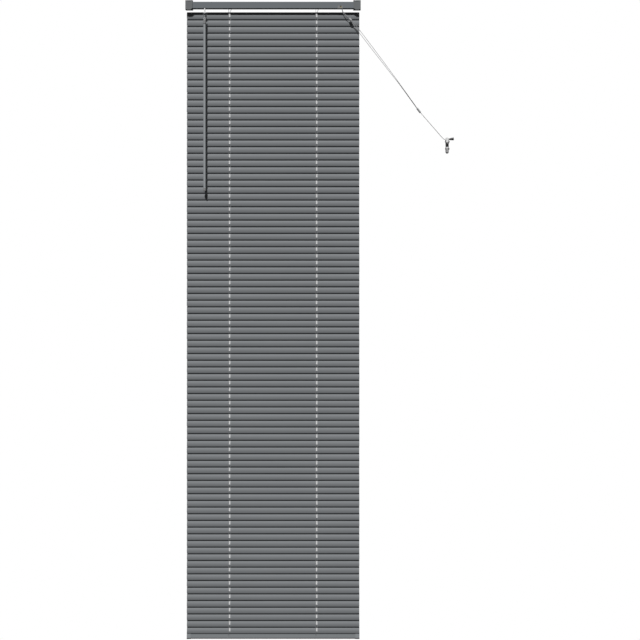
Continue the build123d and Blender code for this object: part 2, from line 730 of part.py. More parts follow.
def cleat_wrap():
    """The figure of eight round the cleat's horns, one closed outline of two loops."""
    upper = Torus(wrap_reach, 1.7)
    ring = Pos(cleat_x, wrap_y, cleat_z + wrap_spread) * Rot(90, 0, 0) * upper
    lower = Pos(cleat_x, wrap_y, cleat_z - wrap_spread) * Rot(90, 0, 0) * upper
    waist = Pos(cleat_x, wrap_y - 1.0, cleat_z) * Rot(90, 0, 0) * Cylinder(4.3, 3.4)
    return ring + lower + waist


def cleat():
    """A wall cleat: a base with two screw holes and two horns."""
    base = extrude(Plane(origin=(0, 0, 0), x_dir=(1, 0, 0), z_dir=(0, -1, 0))
                   * SlotOverall(cleat_length, cleat_width, rotation=90), amount=cleat_base)
    body = base
    for end in (-1, 1):
        post_z = end * wrap_spread
        post = Pos(0, -cleat_rise / 2, post_z) * Rot(90, 0, 0) * Cylinder(cleat_horn, cleat_rise)
        tip = Pos(0, -cleat_rise + 2.2, end * (wrap_spread + 7)) * Rot(end * -12, 0, 0) * Box(8, 4, 18)
        body += post + fillet(tip.edges(), 1.4)
    for end in (-1, 1):
        hole_z = end * (cleat_length / 2 - 5.0)
        body -= along_y(1.75, -2 * cleat_base, 1, 0, hole_z)
    return Pos(cleat_x, 0, cleat_z) * body


def tassel():
    """The bell-shaped pull at the cord's end, tucked into the wrap."""
    z = cleat_z + wrap_spread + 10.3
    x = cleat_x + 5.2
    outline = make_face(Polyline((0, 0), (0, 1.8), (3, 3.2), (9, 4.2), (tassel_length - 1.2, tassel_radius),
                                 (tassel_length, tassel_radius - 1.2), (tassel_length, 0), close=True))
    bell = revolve(outline, axis=Axis.X)
    return Pos(x, wrap_y - 4.5, z) * Rot(0, -6, 0) * bell


os.makedirs("parts", exist_ok=True)
pull_front = pull_cord(front_pull)
pull_back = pull_cord(back_pull)
pull_bores = pull_cord(front_pull, pull_bore_clearance) + pull_cord(back_pull, pull_bore_clearance)

nodes = {
    "head_rail": head_rail(),
    "slats": slats(),
    "ladder_front_strings": front_strings(),
    "bottom_rail": bottom_rail(),
    "tilt_rod": tilt_rod(),
    "worm_shaft": worm_shaft(),
    "worm_wheel": worm_wheel(),
    "wand_link": wand_link(),
    "wand_sleeve": wand_sleeve(),
    "wand_rod": wand_rod(),
    "wand_tip": wand_tip(),
    "cord_lock_housing": lock_housing(),
    "cord_lock_roller": lock_roller(),
    "cord_lock_pin": lock_pin_bar(0),
    "pull_cord_front": pull_front,
    "pull_cord_back": pull_back,
    "cord_stop": cord_stop(),
    "cord_connector": connector(),
    "pull_cord_tail": pull_cord(tail_route),
    "cleat_wrap": cleat_wrap(),
    "cord_cleat": cleat(),
    "cord_tassel": tassel(),
}
for name, side in (("left", -1), ("right", 1)):
    x = side * ladder_spacing / 2
    nodes["bracket_" + name] = bracket(side)
    nodes["bracket_cover_" + name] = bracket_cover(side)
    nodes["cover_hinge_pin_" + name] = hinge_pin(side)
    nodes["rail_end_plug_" + name] = rail_end_plug(side)
    nodes["tilter_case_" + name] = tilter_half(side)
    nodes["ladder_drum_" + name] = drum(x)
    nodes["ladder_cradle_" + name] = cradle(x)
    nodes["cord_guide_pin_" + name] = guide_pin(x)
    nodes["lift_cord_drop_" + name] = lift_drop(x)
    nodes["lift_cord_run_" + name] = lift_run(x, lane_ys[0] if side < 0 else lane_ys[1])
    nodes["bottom_cap_" + name] = bottom_cap(side)
    nodes["bottom_plug_" + name] = bottom_plug(x)

for name, shape in nodes.items():
    export_step(shape, "parts/" + name + ".step")
    print(name, round(shape.volume, 1))
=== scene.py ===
import random
from math import cos, pi, radians, sin, sqrt

import bmesh
import bpy
from bpy.props import FloatProperty, FloatVectorProperty, IntProperty, PointerProperty
from mathutils import Matrix, Vector


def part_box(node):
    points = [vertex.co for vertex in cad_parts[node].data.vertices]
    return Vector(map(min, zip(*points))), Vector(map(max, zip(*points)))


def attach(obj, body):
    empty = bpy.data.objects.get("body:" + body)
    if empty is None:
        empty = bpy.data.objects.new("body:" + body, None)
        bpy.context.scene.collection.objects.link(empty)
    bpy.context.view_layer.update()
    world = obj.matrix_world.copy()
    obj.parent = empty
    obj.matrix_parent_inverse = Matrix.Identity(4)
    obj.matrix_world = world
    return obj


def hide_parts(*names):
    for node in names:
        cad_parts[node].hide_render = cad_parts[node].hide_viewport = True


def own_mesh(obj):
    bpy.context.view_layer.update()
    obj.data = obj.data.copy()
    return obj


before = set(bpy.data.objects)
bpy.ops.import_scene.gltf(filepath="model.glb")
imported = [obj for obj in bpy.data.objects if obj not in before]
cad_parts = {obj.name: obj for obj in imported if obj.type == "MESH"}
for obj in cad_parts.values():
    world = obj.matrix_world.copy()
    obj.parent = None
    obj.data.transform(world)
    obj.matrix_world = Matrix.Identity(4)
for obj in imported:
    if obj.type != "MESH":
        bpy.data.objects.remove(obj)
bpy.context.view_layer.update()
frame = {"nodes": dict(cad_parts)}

bl_info = {
    "name": "Aluminium venetian blind",
    "version": (1, 0, 0),
    "blender": (4, 5, 0),
    "location": "3D View > Sidebar > Blind",
    "description": "Dresses the blind's frame with slats, ladders, cords and finishes",
    "category": "Object",
}

MM = 0.001
SLATS_LOW, SLATS_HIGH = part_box("slats")
RAIL_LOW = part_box("head_rail")[0]
DRUM_LOW, DRUM_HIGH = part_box("ladder_drum_left")
BOTTOM_LOW, BOTTOM_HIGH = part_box("bottom_rail")
CLEAT_LOW, CLEAT_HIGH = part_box("cord_cleat")
SIDES = ("left", "right")

# Surface grain, tone and gloss
TONE_SCALE, TONE_DETAIL = 6.0, 4.0
GRAIN_SCALE, GRAIN_DETAIL = 900.0, 2.0
GLOSS_SPREAD = 0.15
RELIEF_DEPTH = 0.2 * MM
STOP_LIGHTER, CAP_LIGHTER = 1.7, 1.15

# Braid of the cords, where a wave texture of scale 1 has 3.2 bands a metre
CORD_BANDS, STRING_BANDS, WAVE_BANDS = 1300.0, 1500.0, 3.2
BRAID_SLANT = radians(38)
BRAID_DISTORTION, BRAID_RELIEF = 0.4, 0.5
# Painted shade in the braid's valleys and painted light on its crests, as factors on the cord's colour
BRAID_VALLEY_SHADE, BRAID_CREST_LIGHT = 0.8, 1.12
CORD_ROUGHNESS, CORD_SHEEN = 0.75, 0.2

# Cords as curves, and the extra steps that round each quarter of their section
CURVE_ORDER, CURVE_STEPS = 3, 8
RUNG_ROUNDING, STRING_ROUNDING, LIFT_ROUNDING, PULL_ROUNDING = 0, 1, 2, 3

# Cross lines of a slat's mesh, and the middle flat of the frame's folded slats
SHARP_TURN = radians(40)
CORNER_LINE, EDGE_LINE = 0.3, 0.8
END_LINE = 140 * MM
FLAT_HALF = 6.5 * MM

# How far single slats stray from their row, in degrees and millimetres, and how much shorter they are for it
SLAT_SEED = 11
TILT_STRAY, TURN_STRAY = 0.5, 0.02
SWAY_STRAY = 0.25
SLAT_TRIM = 0.6 * MM

# Ladders at the drum, the rail, the slats and the bottom rail
DRUM_TURNS = (85, 60, 40, 20, 0)
DRUM_GAP = 0.1 * MM
RAIL_GAP = 0.2 * MM
BACK_GAP = 0.55 * MM
FRONT_END_RISE, BACK_END_DROP = 7 * MM, 2 * MM
RUNG_SPLIT = 0.35 * MM
RUNG_DROP, RUNG_RISE = 1.4 * MM, 0.5 * MM
RUNG_BEND_DEPTH, RUNG_BEND_DROP = 0.2, 0.55

# Lift cords where they turn straight down
BEND_RISE, BEND_HALF = 6 * MM, 4 * MM
BEND_SIDE, BEND_FRONT = 1.2 * MM, 0.5 * MM

# Routes of the free cords in millimetres, listed from the lock to the cleat
FRONT_PULL = [
    (237.4, -22.0, -13.2), (238.6, -23.6, -19.0), (244.5, -25.0, -29.5), (255.0, -26.4, -39.5),
    (265.6, -26.7, -48.2), (274.5, -26.4, -58.0), (299.5, -25.3, -88.6), (425.0, -20.5, -254.6),
    (496.0, -19.2, -354.6)]
BACK_PULL = [
    (237.4, -19.0, -13.2), (237.8, -20.4, -19.5), (242.2, -22.3, -31.0), (253.0, -23.7, -42.0),
    (264.2, -24.0, -51.0), (272.2, -23.8, -61.5), (297.0, -22.8, -96.6), (417.5, -18.9, -250.8),
    (428.5, -18.4, -262.8), (495.2, -17.2, -355.6)]
TAIL = [(507.8, -17.9, -370.6), (545.0, -14.5, -413.0), (572.0, -12.0, -443.0), (589.0, -10.0, -463.0)]

# Figure of eight round the cleat in millimetres, and how its end goes into the tassel
WRAP_TURNS, WRAP_STEPS = 4, 16
WRAP_REACH, WRAP_HEIGHT, WRAP_NEST = 6.0, 16.6, 1.7
WRAP_START_Y, WRAP_PITCH, WRAP_CROSSING = -6.6, 1.0, 1.0
TASSEL_ENTRY = 0.4
TASSEL_APPROACH = (-2.5, 1.0, -1.2)

# Lamps and camera, whose view is 640 pixels of 3.445 mm wide at the blind
SUN_SPREAD = radians(3)
CAMERA_REACH = 60
VIEW_PIXELS, PIXEL = 640, 3.445 * MM


def length(name, description, default):
    return FloatProperty(name=name, description=description, default=default, unit="LENGTH")


def angle(name, description, default):
    return FloatProperty(name=name, description=description, default=radians(default), subtype="ANGLE")


def colour(name, default):
    return FloatVectorProperty(name=name, description="Colour of the " + name.lower(), subtype="COLOR",
                               size=3, min=0, max=1, default=default)


class BlindSizes(bpy.types.PropertyGroup):
    slat_count: IntProperty(name="Slats", description="Number of slats", default=93, min=2)
    slat_width: length("Slat width", "Chord of a slat", 25 * MM)
    slat_crown: length("Slat crown", "Rise of a slat's middle", 2.5 * MM)
    slat_gauge: length("Slat gauge", "Sheet thickness", 0.21 * MM)
    slat_tilt: angle("Slat tilt", "Closing angle of the slats", 76.0)
    slat_corner: length("Slat corner", "Rounding of a slat's corners", 2.0 * MM)
    first_drop: length("First slat", "From the rail's underside to the first slat", 22.3 * MM)
    pitch: length("Pitch", "From slat to slat", 23 * MM)
    route_width: length("Route width", "Width of a route hole", 4 * MM)
    route_length: length("Route length", "Length of a route hole", 12 * MM)
    ladder_spacing: length("Ladder spacing", "Between the two ladders", 300 * MM)
    string_offset: length("String offset", "Ladder strings beside the lift cord", 2.9 * MM)
    string_radius: length("String", "Radius of a ladder string", 0.42 * MM)
    rung_radius: length("Rung", "Radius of a rung thread", 0.28 * MM)
    lift_radius: length("Lift cord", "Radius of a lift cord", 0.7 * MM)
    pull_radius: length("Pull cord", "Radius of a pull cord", 0.8 * MM)
    cord_plane: length("Cord plane", "Where the lift cords hang, front to back", -16 * MM)
    stack_gap: FloatProperty(name="Stack", description="Part of the slats' height left when raised",
                             default=0.079, subtype="FACTOR")
    key: FloatProperty(name="Key", description="Strength of the key lamp", default=3.4)
    key_rise: angle("Key rise", "Height of the key lamp", 60.0)
    key_side: angle("Key side", "Turn of the key lamp to the left", 20.0)
    back: FloatProperty(name="Back", description="Strength of the lamp behind the blind", default=1.6)
    back_rise: angle("Back rise", "Height of the lamp behind", 30.0)
    fill: FloatProperty(name="Fill", description="Strength of the surroundings", default=0.05)
    view_side: length("View side", "Middle of the view, left to right", 161.6 * MM)
    view_front: length("View front", "Plane that the view's width is measured in", -17 * MM)
    view_height: length("View height", "Middle of the view, up and down", -1084.5 * MM)
    view_width: length("View width", "Width of the view at the blind", VIEW_PIXELS * PIXEL)
    camera_distance: length("Camera distance", "From the camera to the blind", 6.5)


class BlindColours(bpy.types.PropertyGroup):
    slat: colour("Slat lacquer", (0.27, 0.283, 0.295))
    rail: colour("Rail lacquer", (0.262, 0.283, 0.304))
    bracket: colour("Bracket lacquer", (0.255, 0.265, 0.27))
    bottom: colour("Bottom rail lacquer", (0.225, 0.24, 0.25))
    steel: colour("Bare steel", (0.62, 0.63, 0.65))
    brass: colour("Brass", (0.78, 0.68, 0.38))
    string: colour("Ladder strings", (0.34, 0.35, 0.36))
    cord: colour("Cords", (0.55, 0.56, 0.57))
    lift: colour("Lift cords", (0.22, 0.226, 0.232))
    dark_cord: colour("Wound cord", (0.13, 0.13, 0.133))
    grey: colour("Grey plastic", (0.36, 0.365, 0.37))
    wand: colour("Wand plastic", (0.50, 0.525, 0.545))
    white: colour("White plastic", (0.93, 0.93, 0.93))
    dark: colour("Dark plastic", (0.10, 0.10, 0.103))


def sizes():
    return bpy.context.scene.blind_sizes


def colours():
    return bpy.context.scene.blind_colours


def ladder_places():
    half = sizes().ladder_spacing / 2
    return -half, half


def slat_height(row):
    """The height of a slat's middle."""
    size = sizes()
    return RAIL_LOW[2] - size.first_drop - size.pitch * row


def crown_height(across):
    """How far a slat's face lies above its crown, at a distance from its middle: nought or less."""
    size = sizes()
    radius = ((size.slat_width / 2) ** 2 + size.slat_crown ** 2) / (2 * size.slat_crown)
    return sqrt(radius ** 2 - across ** 2) - radius


def slat_lie():
    """How a closed slat lies: half its height and depth, and its crown and chord front to back."""
    size = sizes()
    flat_drop = -crown_height(FLAT_HALF)
    rise = size.slat_width / 2 * sin(size.slat_tilt)
    depth = size.slat_width / 2 * cos(size.slat_tilt)
    crown_y = size.cord_plane - flat_drop * sin(size.slat_tilt)
    chord_y = size.cord_plane + (size.slat_crown - flat_drop) * sin(size.slat_tilt)
    return rise, depth, crown_y, chord_y


# Finishes

def variation_group():
    """Masks for slow tone changes and fine grain, read from object coordinates."""
    name = "surface_variation"
    if name in bpy.data.node_groups:
        return bpy.data.node_groups[name]
    group = bpy.data.node_groups.new(name, "ShaderNodeTree")
    for label, scale in (("Tone Scale", TONE_SCALE), ("Grain Scale", GRAIN_SCALE)):
        socket = group.interface.new_socket(name=label, in_out="INPUT", socket_type="NodeSocketFloat")
        socket.default_value = scale
    for label in ("Tone", "Grain"):
        group.interface.new_socket(name=label, in_out="OUTPUT", socket_type="NodeSocketFloat")
    nodes, links = group.nodes, group.links
    entry = nodes.new("NodeGroupInput")
    leave = nodes.new("NodeGroupOutput")
    place = nodes.new("ShaderNodeTexCoord")
    for label, detail in (("Tone", TONE_DETAIL), ("Grain", GRAIN_DETAIL)):
        noise = nodes.new("ShaderNodeTexNoise")
        noise.inputs["Detail"].default_value = detail
        links.new(place.outputs["Object"], noise.inputs["Vector"])
        links.new(entry.outputs[label + " Scale"], noise.inputs["Scale"])
        links.new(noise.outputs["Fac"], leave.inputs[label])
    return group


def new_material(name, tint):
    """A material with its node tree and its shader."""
    material = bpy.data.materials.new(name)
    material.use_nodes = True
    material.diffuse_color = (*tint, 1)
    return material, material.node_tree, material.node_tree.nodes["Principled BSDF"]


def shade_and_relief(tree, shader, tint, tone_and_shade_mask, dark, light, height_mask, bump):
    """Feeds the shader a tint that one mask darkens and lightens (random tone for lacquers and plastics,
    painted shade and painted light for braids), and a relief from another mask.
    """
    tone_and_shade = tree.nodes.new("ShaderNodeMapRange")
    tone_and_shade.inputs["To Min"].default_value = dark
    tone_and_shade.inputs["To Max"].default_value = light
    tree.links.new(tone_and_shade_mask, tone_and_shade.inputs["Value"])
    shade = tree.nodes.new("ShaderNodeVectorMath")
    shade.operation = "SCALE"
    shade.inputs[0].default_value = tint
    tree.links.new(tone_and_shade.outputs["Result"], shade.inputs["Scale"])
    tree.links.new(shade.outputs["Vector"], shader.inputs["Base Color"])
    relief = tree.nodes.new("ShaderNodeBump")
    relief.inputs["Strength"].default_value = bump
    relief.inputs["Distance"].default_value = RELIEF_DEPTH
    tree.links.new(height_mask, relief.inputs["Height"])
    tree.links.new(relief.outputs["Normal"], shader.inputs["Normal"])


def finish(name, tint, roughness, metallic=0.0, tone=0.06, grain_scale=GRAIN_SCALE, bump=0.04,
           tone_scale=TONE_SCALE, coat=0.0, specular=0.3):
    """A lacquer, plastic or metal whose tone, gloss and grain change over the surface."""
    name = "dressed_" + name
    if name in bpy.data.materials:
        return bpy.data.materials[name]
    material, tree, shader = new_material(name, tint)
    shader.inputs["Metallic"].default_value = metallic
    shader.inputs["Coat Weight"].default_value = coat
    shader.inputs["Specular IOR Level"].default_value = specular
    masks = tree.nodes.new("ShaderNodeGroup")
    masks.node_tree = variation_group()
    masks.inputs["Tone Scale"].default_value = tone_scale
    masks.inputs["Grain Scale"].default_value = grain_scale
    gloss = tree.nodes.new("ShaderNodeMapRange")
    gloss.inputs["To Min"].default_value = roughness * (1 - GLOSS_SPREAD)
    gloss.inputs["To Max"].default_value = min(1, roughness * (1 + GLOSS_SPREAD))
    tree.links.new(masks.outputs["Grain"], gloss.inputs["Value"])
    tree.links.new(gloss.outputs["Result"], shader.inputs["Roughness"])
    shade_and_relief(tree, shader, tint, masks.outputs["Tone"], 1 - tone, 1 + tone,
                     masks.outputs["Grain"], bump)
    return material


def braid(name, tint, bands=CORD_BANDS):
    """A braided cord: slanted bands in two directions, with painted shade in the valleys between them and
    painted light on their crests.
    """
    name = "dressed_" + name
    if name in bpy.data.materials:
        return bpy.data.materials[name]
    material, tree, shader = new_material(name, tint)
    shader.inputs["Roughness"].default_value = CORD_ROUGHNESS
    shader.inputs["Sheen Weight"].default_value = CORD_SHEEN
    place = tree.nodes.new("ShaderNodeTexCoord")
    cross = tree.nodes.new("ShaderNodeMath")
    cross.operation = "MULTIPLY"
    for side, slant in enumerate((BRAID_SLANT, -BRAID_SLANT)):
        mapping = tree.nodes.new("ShaderNodeMapping")
        mapping.inputs["Rotation"].default_value = (0, slant, 0)
        wave = tree.nodes.new("ShaderNodeTexWave")
        wave.bands_direction = "Z"
        wave.inputs["Scale"].default_value = bands / WAVE_BANDS
        wave.inputs["Distortion"].default_value = BRAID_DISTORTION
        tree.links.new(place.outputs["Object"], mapping.inputs["Vector"])
        tree.links.new(mapping.outputs["Vector"], wave.inputs["Vector"])
        tree.links.new(wave.outputs["Fac"], cross.inputs[side])
    mask = cross.outputs["Value"]
    # The same mask paints shade into the valleys and light onto the crests, and raises the relief
    shade_and_relief(tree, shader, tint, mask, BRAID_VALLEY_SHADE, BRAID_CREST_LIGHT, mask, BRAID_RELIEF)
    return material


# Making pieces

def add_piece(name, mesh, material):
    """A mesh as a piece of the blind, at the origin, riding on the blind's body."""
    piece = bpy.data.objects.new(name, mesh)
    bpy.context.scene.collection.objects.link(piece)
    mesh.materials.append(material)
    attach(piece, "blind")
    return piece


def from_bmesh(name, bm):
    """A mesh with smooth faces and sharp edges where they turn."""
    for face in bm.faces:
        face.smooth = True
    for edge in bm.edges:
        edge.smooth = len(edge.link_faces) == 2 and edge.calc_face_angle(0) < SHARP_TURN
    mesh = bpy.data.meshes.new(name)
    bm.to_mesh(mesh)
    bm.free()
    return mesh


def curve_object(name, runs, radius, rounding, kind="POLY"):
    """A curve object of one or more open runs with a round section, whose points hold its radius."""
    curve = bpy.data.curves.new(name, "CURVE")
    curve.dimensions = "3D"
    curve.bevel_depth = 1
    curve.bevel_resolution = rounding
    curve.use_fill_caps = True
    for run in runs:
        spline = curve.splines.new(kind)
        spline.points.add(len(run) - 1)
        for point, place in zip(spline.points, run):
            point.co = (*place, 1)
            point.radius = radius
        if kind == "NURBS":
            spline.order_u = CURVE_ORDER
            spline.use_endpoint_u = True
            spline.resolution_u = CURVE_STEPS
    piece = bpy.data.objects.new(name, curve)
    bpy.context.scene.collection.objects.link(piece)
    return piece


def drawn_mesh(piece):
    """The mesh that a curve draws."""
    graph = bpy.context.evaluated_depsgraph_get()
    return bpy.data.meshes.new_from_object(piece.evaluated_get(graph))


def drawn_length(piece):
    """The length of a curve's line."""
    depth, piece.data.bevel_depth = piece.data.bevel_depth, 0
    mesh = drawn_mesh(piece)
    places = [vertex.co for vertex in mesh.vertices]
    total = sum((places[start] - places[end]).length for start, end in (e.vertices for e in mesh.edges))
    bpy.data.meshes.remove(mesh)
    piece.data.bevel_depth = depth
    return total


def strands(name, runs, radius, material, rounding):
    """Threads, strings and cords that hang straight, as one mesh piece."""
    drawn = curve_object(name + "_line", runs, radius, rounding)
    mesh = drawn_mesh(drawn)
    line = drawn.data
    bpy.data.objects.remove(drawn)
    bpy.data.curves.remove(line)
    mesh.materials.clear()
    return add_piece(name, mesh, material)


def stack(piece):
    """Gives a piece of slats or rungs a mesh of its own."""
    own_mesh(piece)


def gather(piece):
    """Gives a hanging piece a mesh of its own."""
    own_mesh(piece)


def slat_lines(slat_length):
    """Where a slat's mesh has its lines, along the slat and across it."""
    size = sizes()
    half, width, hole = slat_length / 2, size.slat_width / 2, size.route_width / 2
    ends = (0, size.slat_corner * CORNER_LINE, size.slat_corner, END_LINE)
    along = {0.0}
    for end in ends:
        along |= {-half + end, half - end}
    for x in ladder_places():
        along |= {x - hole, x, x + hole}
    near = (size.route_length / 4, size.route_length / 2, width * EDGE_LINE, width)
    across = [-y for y in reversed(near)] + [0, *near]
    return sorted(along), across


def draw_slat(bm, slat_length):
    """One crowned slat with round corners and two route holes, its crown at the origin."""
    size = sizes()
    half, width, corner = slat_length / 2, size.slat_width / 2, size.slat_corner
    along, across = slat_lines(slat_length)
    x_segments, y_segments = len(along) - 1, len(across) - 1
    grid = bmesh.ops.create_grid(bm, x_segments=x_segments, y_segments=y_segments, size=0.5)
    for vert in grid["verts"]:
        x = along[round((vert.co.x + 0.5) * x_segments)]
        y = across[round((vert.co.y + 0.5) * y_segments)]
        end = half - abs(x)
        if end < corner:
            inset = corner - sqrt(max(0, corner ** 2 - (corner - end) ** 2))
            y = y * (width - inset) / width
        vert.co = (x, y, crown_height(y))
    holes = []
    for face in bm.faces:
        middle = face.calc_center_median()
        near = min(abs(middle.x - x) for x in ladder_places())
        if near < size.route_width / 2 and abs(middle.y) < size.route_length / 2:
            holes.append(face)
    bmesh.ops.delete(bm, geom=holes, context="FACES")
    bmesh.ops.solidify(bm, geom=bm.faces[:], thickness=size.slat_gauge)
    bmesh.ops.recalc_face_normals(bm, faces=bm.faces)


class BLIND_OT_slats(bpy.types.Operator):
    """Makes the slats, each a crowned aluminium strip"""
    bl_idname = "blind.slats"
    bl_label = "Slats"

    def execute(self, context):
        size = sizes()
        one = bmesh.new()
        draw_slat(one, SLATS_HIGH[0] - SLATS_LOW[0] - SLAT_TRIM)
        pattern = bpy.data.meshes.new("slat_pattern")
        one.to_mesh(pattern)
        one.free()
        _, _, crown_y, _ = slat_lie()
        stray = random.Random(SLAT_SEED)
        whole = bmesh.new()
        for row in range(size.slat_count):
            before = len(whole.verts)
            whole.from_mesh(pattern)
            whole.verts.ensure_lookup_table()
            tilt = size.slat_tilt + radians(stray.uniform(-TILT_STRAY, TILT_STRAY))
            sway = stray.uniform(-SWAY_STRAY, SWAY_STRAY) * MM
            turn = radians(stray.uniform(-TURN_STRAY, TURN_STRAY))
            place = (Matrix.Translation((sway, crown_y, slat_height(row)))
                     @ Matrix.Rotation(turn, 4, "Y") @ Matrix.Rotation(tilt, 4, "X"))
            bmesh.ops.transform(whole, matrix=place, verts=whole.verts[before:])
        bpy.data.meshes.remove(pattern)
        lacquer = finish("slat_lacquer", colours().slat, 0.5, tone=0.05, grain_scale=1400.0, bump=0.03,
                         tone_scale=3.0, specular=0.08)
        piece = add_piece("slats_dressed", from_bmesh("slats_dressed", whole), lacquer)
        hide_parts("slats")
        stack(piece)
        return {"FINISHED"}


class BLIND_OT_ladders(bpy.types.Operator):
    """Makes the ladder strings and their rungs"""
    bl_idname = "blind.ladders"
    bl_label = "Ladders"

    def execute(self, context):
        size = sizes()
        rise, depth, _, chord_y = slat_lie()
        front_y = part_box("ladder_front_strings")[0][1] + size.string_radius
        back_y = chord_y + depth + BACK_GAP
        drum_y = (DRUM_LOW[1] + DRUM_HIGH[1]) / 2
        drum_z = (DRUM_LOW[2] + DRUM_HIGH[2]) / 2
        wrap = (DRUM_HIGH[2] - DRUM_LOW[2]) / 2 + size.string_radius + DRUM_GAP
        under = RAIL_LOW[2] - RAIL_GAP
        ends = {"front": BOTTOM_LOW[2] + FRONT_END_RISE, "back": BOTTOM_HIGH[2] - BACK_END_DROP}
        joins = {"front": slat_height(0) - rise, "back": slat_height(0) + rise}
        tops, rungs, strings = [], [], {"front": [], "back": []}
        for cord_x in ladder_places():
            x = cord_x - size.string_offset
            for name, y, side in (("front", front_y, -1), ("back", back_y, 1)):
                slope = (y - (drum_y + side * wrap)) / (joins[name] - drum_z)
                entry = drum_y + side * wrap + slope * (under - drum_z)
                over = [(x, drum_y + side * wrap * cos(radians(turn)), drum_z + wrap * sin(radians(turn)))
                        for turn in DRUM_TURNS]
                tops.append(over + [(x, entry, under)])
                strings[name].append([(x, entry, under), (x, y, joins[name]), (x, y, ends[name])])
            for row in range(size.slat_count):
                middle = slat_height(row)
                route = ((front_y, middle - rise - RUNG_DROP),
                         (chord_y - depth * RUNG_BEND_DEPTH, middle - rise * RUNG_BEND_DROP),
                         (back_y, middle + rise + RUNG_RISE))
                for shift in (-RUNG_SPLIT, RUNG_SPLIT):
                    rungs.append([(x + shift, y, z) for y, z in route])
        twine = braid("ladder_cord", colours().string, STRING_BANDS)
        strands("ladder_tops", tops, size.string_radius, twine, STRING_ROUNDING)
        front = strands("ladder_strings_front", strings["front"], size.string_radius, twine, STRING_ROUNDING)
        gather(front)
        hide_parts("ladder_front_strings")
        back = strands("ladder_strings_back", strings["back"], size.string_radius, twine, STRING_ROUNDING)
        gather(back)
        stack(strands("ladder_rungs", rungs, size.rung_radius, twine, RUNG_ROUNDING))
        return {"FINISHED"}


class BLIND_OT_lift_cords(bpy.types.Operator):
    """Makes the hanging part of both lift cords"""
    bl_idname = "blind.lift_cords"
    bl_label = "Lift cords"

    def execute(self, context):
        size = sizes()
        cord = braid("lift_cord", colours().lift)
        bend = slat_height(0) + BEND_RISE
        for side, x in zip(SIDES, ladder_places()):
            low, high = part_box("lift_cord_drop_" + side)
            run = [(float(high[0]) - size.lift_radius, float(low[1]) + size.lift_radius, high[2]),
                   (x + BEND_SIDE, size.cord_plane - BEND_FRONT, bend + BEND_HALF),
                   (x, size.cord_plane, bend - BEND_HALF), (x, size.cord_plane, low[2])]
            piece = strands("lift_cord_" + side, [run], size.lift_radius, cord, LIFT_ROUNDING)
            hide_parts("lift_cord_drop_" + side)
            gather(piece)
        return {"FINISHED"}


def wrap_route():
    """The turns of the figure of eight round the cleat, in millimetres."""
    middle = (CLEAT_LOW + CLEAT_HIGH) / 2 / MM
    route = []
    for step in range(1, WRAP_TURNS * WRAP_STEPS + 1):
        around = 2 * pi * step / WRAP_STEPS
        nest = WRAP_NEST * (0.5 - 0.5 * cos(around / 2))
        x = middle[0] + (WRAP_REACH + nest) * sin(2 * around)
        y = WRAP_START_Y - WRAP_PITCH * step / WRAP_STEPS + WRAP_CROSSING * sin(around)
        route.append((x, y, middle[2] + (WRAP_HEIGHT + nest) * cos(around)))
    return route


def tassel_route():
    """The wound cord's last two points, before the tassel and in it, in millimetres."""
    low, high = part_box("cord_tassel")
    height = low[2] * (1 - TASSEL_ENTRY) + high[2] * TASSEL_ENTRY
    entry = tuple(value / MM for value in (low[0], (low[1] + high[1]) / 2, height))
    return [tuple(value + step for value, step in zip(entry, TASSEL_APPROACH)), entry]


class BLIND_OT_pull_cords(bpy.types.Operator):
    """Makes the two pull cords and the tail with its figure of eight"""
    bl_idname = "blind.pull_cords"
    bl_label = "Pull cords"

    def execute(self, context):
        radius, paint, nodes = sizes().pull_radius, colours(), frame["nodes"]
        pale = braid("pull_cord", paint.cord)
        dark = braid("wound_cord", paint.dark_cord)
        end_route = TAIL + wrap_route() + tassel_route()
        cords = (
            ("pull_cord_one", FRONT_PULL, ["pull_cord_front"], pale, "connector", "cord_stop"),
            ("pull_cord_two", BACK_PULL, ["pull_cord_back"], pale, "connector", "cord_connector"),
            ("pull_cord_end", end_route, ["pull_cord_tail", "cleat_wrap"], dark, "fitting", "cord_tassel"))
        for name, route, stands_for, cord, far_end, fitting in cords:
            points = [tuple(value * MM for value in point) for point in route]
            piece = curve_object(name, [points], radius, PULL_ROUNDING, kind="NURBS")
            piece.data.materials.append(cord)
            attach(piece, "blind")
            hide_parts(*stands_for)
            round(drawn_length(piece), 4)
        return {"FINISHED"}


# What the frame's own parts wear, single ones and those with a left and a right
SINGLE = {
    "head_rail": "rail", "bottom_rail": "bottom",
    "tilt_rod": "steel", "worm_shaft": "white", "worm_wheel": "white", "wand_link": "steel",
    "wand_sleeve": "grey", "wand_rod": "wand", "wand_tip": "grey", "cord_lock_housing": "grey",
    "cord_lock_roller": "brass", "cord_lock_pin": "steel", "cord_stop": "stop", "cord_connector": "stop",
    "cord_cleat": "white", "cord_tassel": "dark",
}
PAIRED = {
    "bracket": "bracket", "bracket_cover": "bracket", "cover_hinge_pin": "steel", "rail_end_plug": "grey",
    "tilter_case": "grey", "ladder_drum": "white", "ladder_cradle": "grey", "cord_guide_pin": "steel",
    "lift_cord_run": "braid", "bottom_cap": "cap", "bottom_plug": "grey",
}


def lighter(tint, factor):
    return tuple(min(1, value * factor) for value in tint)


